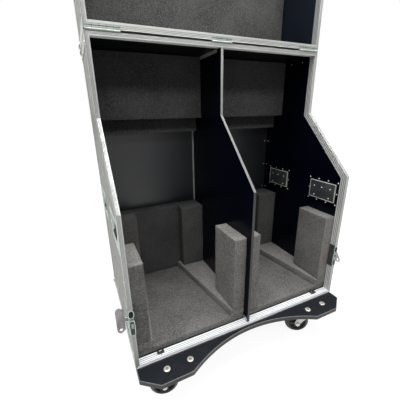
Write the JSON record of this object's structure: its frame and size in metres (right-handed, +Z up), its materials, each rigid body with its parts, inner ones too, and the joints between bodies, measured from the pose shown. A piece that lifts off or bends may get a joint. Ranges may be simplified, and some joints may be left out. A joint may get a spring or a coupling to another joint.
{
  "type": "stage monitor flight case",
  "caption": "Wheeled flight case for stage monitor wedges: foam-lined bays behind a sloping mouth, a lid hinged back over the roof, recessed handles, butterfly latches and swivel castors.",
  "frame": {"origin": "middle of the footprint of the open case, on the ground under its castors", "axes": "+Z up; -Y the way the bays open; +X to the right of a person who faces the open bays"},
  "size_m": [0.977, 0.645, 2.2359],
  "materials": {
    "grey_laminate": "satin",
    "dark_laminate": "satin",
    "ridged_aluminium": "satin",
    "black_foam": "matte",
    "zinc_plated_steel": "satin",
    "black_board": "satin",
    "black_rubber": "matte"
  },
  "bodies": {
    "case": {"left_side_panel": "grey_laminate", "right_side_panel": "grey_laminate", "back_panel": "grey_laminate", "top_panel": "grey_laminate", "bottom_panel": "grey_laminate", "divider_panel": "dark_laminate", "front_rim": "ridged_aluminium", "edge_frame": "ridged_aluminium", "castor_board": "black_board", "left_floor_foam": "black_foam", "left_outer_front_block": "black_foam", "left_inner_front_block": "black_foam", "left_rear_foam": "black_foam", "left_upper_foam": "black_foam", "left_front_handle_dish": "zinc_plated_steel", "left_rear_handle_dish": "zinc_plated_steel", "left_latch_dish": "zinc_plated_steel", "right_floor_foam": "black_foam", "right_outer_front_block": "black_foam", "right_inner_front_block": "black_foam", "right_rear_foam": "black_foam", "right_upper_foam": "black_foam", "right_front_handle_dish": "zinc_plated_steel", "right_rear_handle_dish": "zinc_plated_steel", "right_latch_dish": "zinc_plated_steel", "front_left_castor_plate": "zinc_plated_steel", "front_right_castor_plate": "zinc_plated_steel", "rear_left_castor_plate": "zinc_plated_steel", "rear_right_castor_plate": "zinc_plated_steel"},
    "lid": {"lid_front_panel": "grey_laminate", "lid_top_panel": "grey_laminate", "lid_bottom_panel": "grey_laminate", "lid_left_panel": "grey_laminate", "lid_right_panel": "grey_laminate", "lid_rim": "ridged_aluminium", "lid_edge_frame": "ridged_aluminium", "lid_foam": "black_foam", "left_hinge_leaf": "zinc_plated_steel", "middle_hinge_leaf": "zinc_plated_steel", "right_hinge_leaf": "zinc_plated_steel", "left_latch_keeper": "zinc_plated_steel", "right_latch_keeper": "zinc_plated_steel"},
    "left_front_grip": {"left_front_handle_grip": "black_rubber"},
    "left_rear_grip": {"left_rear_handle_grip": "black_rubber"},
    "right_front_grip": {"right_front_handle_grip": "black_rubber"},
    "right_rear_grip": {"right_rear_handle_grip": "black_rubber"},
    "left_latch_turner": {"left_latch_rotor": "zinc_plated_steel"},
    "left_wing": {"left_latch_wing": "zinc_plated_steel"},
    "left_hook": {"left_latch_hook": "zinc_plated_steel"},
    "right_latch_turner": {"right_latch_rotor": "zinc_plated_steel"},
    "right_wing": {"right_latch_wing": "zinc_plated_steel"},
    "right_hook": {"right_latch_hook": "zinc_plated_steel"},
    "front_left_fork": {"front_left_castor_fork": "zinc_plated_steel"},
    "front_left_wheel": {"front_left_castor_wheel": "black_rubber"},
    "front_right_fork": {"front_right_castor_fork": "zinc_plated_steel"},
    "front_right_wheel": {"front_right_castor_wheel": "black_rubber"},
    "rear_left_fork": {"rear_left_castor_fork": "zinc_plated_steel"},
    "rear_left_wheel": {"rear_left_castor_wheel": "black_rubber"},
    "rear_right_fork": {"rear_right_castor_fork": "zinc_plated_steel"},
    "rear_right_wheel": {"rear_right_castor_wheel": "black_rubber"}
  },
  "joints": [
    {"name": "lid_hinge", "type": "hinge", "parent": "case", "child": "lid", "pos_m": [0, -0.0025, 1.1942], "axis": [1, 0, 0], "range_deg": [0, 180]},
    {"name": "left_front_grip_swing", "type": "hinge", "parent": "case", "child": "left_front_grip", "pos_m": [-0.4435, -0.128, 0.6545], "axis": [0, 1, 0], "range_deg": [0, 90], "stiffness_Nm_per_rad": 0.4, "springref_deg": -20.05},
    {"name": "left_rear_grip_swing", "type": "hinge", "parent": "case", "child": "left_rear_grip", "pos_m": [-0.4435, 0.1565, 0.6545], "axis": [0, 1, 0], "range_deg": [0, 90], "stiffness_Nm_per_rad": 0.4, "springref_deg": -20.05},
    {"name": "right_front_grip_swing", "type": "hinge", "parent": "case", "child": "right_front_grip", "pos_m": [0.4435, -0.128, 0.6545], "axis": [0, -1, 0], "range_deg": [0, 90], "stiffness_Nm_per_rad": 0.4, "springref_deg": -20.05},
    {"name": "right_rear_grip_swing", "type": "hinge", "parent": "case", "child": "right_rear_grip", "pos_m": [0.4435, 0.1565, 0.6545], "axis": [0, -1, 0], "range_deg": [0, 90], "stiffness_Nm_per_rad": 0.4, "springref_deg": -20.05},
    {"name": "left_latch_turn", "type": "hinge", "parent": "case", "child": "left_latch_turner", "pos_m": [-0.4385, -0.2085, 0.3495], "axis": [-1, 0, 0], "range_deg": [0, 180]},
    {"name": "left_wing_fold", "type": "hinge", "parent": "left_latch_turner", "child": "left_wing", "pos_m": [-0.4565, -0.2085, 0.3495], "axis": [0, 0, -1], "range_deg": [0, 90]},
    {"name": "left_hook_slide", "type": "slide", "parent": "case", "child": "left_hook", "axis": [0, -1, 0], "range_m": [0, 0.012]},
    {"name": "right_latch_turn", "type": "hinge", "parent": "case", "child": "right_latch_turner", "pos_m": [0.4385, -0.2085, 0.3495], "axis": [-1, 0, 0], "range_deg": [-35, 145]},
    {"name": "right_wing_fold", "type": "hinge", "parent": "right_latch_turner", "child": "right_wing", "pos_m": [0.4565, -0.2085, 0.3495], "axis": [0, 0.5736, 0.8192], "range_deg": [0, 90]},
    {"name": "right_hook_slide", "type": "slide", "parent": "case", "child": "right_hook", "axis": [0, -1, 0], "range_m": [-0.00233, 0.00967]},
    {"name": "front_left_swivel", "type": "hinge", "parent": "case", "child": "front_left_fork", "pos_m": [-0.314, -0.2445, 0.1335], "axis": [0, 0, 1], "continuous": true},
    {"name": "front_left_wheel_spin", "type": "hinge", "parent": "front_left_fork", "child": "front_left_wheel", "pos_m": [-0.35997, -0.23473, 0.052], "axis": [-0.2079, -0.9781, 0], "continuous": true},
    {"name": "front_right_swivel", "type": "hinge", "parent": "case", "child": "front_right_fork", "pos_m": [0.314, -0.2445, 0.1335], "axis": [0, 0, 1], "continuous": true},
    {"name": "front_right_wheel_spin", "type": "hinge", "parent": "front_right_fork", "child": "front_right_wheel", "pos_m": [0.27289, -0.22171, 0.052], "axis": [-0.4848, -0.8746, 0], "continuous": true},
    {"name": "rear_left_swivel", "type": "hinge", "parent": "case", "child": "rear_left_fork", "pos_m": [-0.314, 0.2155, 0.1335], "axis": [0, 0, 1], "continuous": true},
    {"name": "rear_left_wheel_spin", "type": "hinge", "parent": "rear_left_fork", "child": "rear_left_wheel", "pos_m": [-0.3566, 0.19564, 0.052], "axis": [0.4226, -0.9063, 0], "continuous": true},
    {"name": "rear_right_swivel", "type": "hinge", "parent": "case", "child": "rear_right_fork", "pos_m": [0.314, 0.2155, 0.1335], "axis": [0, 0, 1], "continuous": true},
    {"name": "rear_right_wheel_spin", "type": "hinge", "parent": "rear_right_fork", "child": "rear_right_wheel", "pos_m": [0.26983, 0.23157, 0.052], "axis": [-0.342, -0.9397, 0], "continuous": true}
  ],
  "couplings": [
    {"joint": "left_hook_slide", "follows": "left_latch_turn", "m_per_rad": 0.0038197},
    {"joint": "right_hook_slide", "follows": "right_latch_turn", "m_per_rad": 0.0038197}
  ]
}
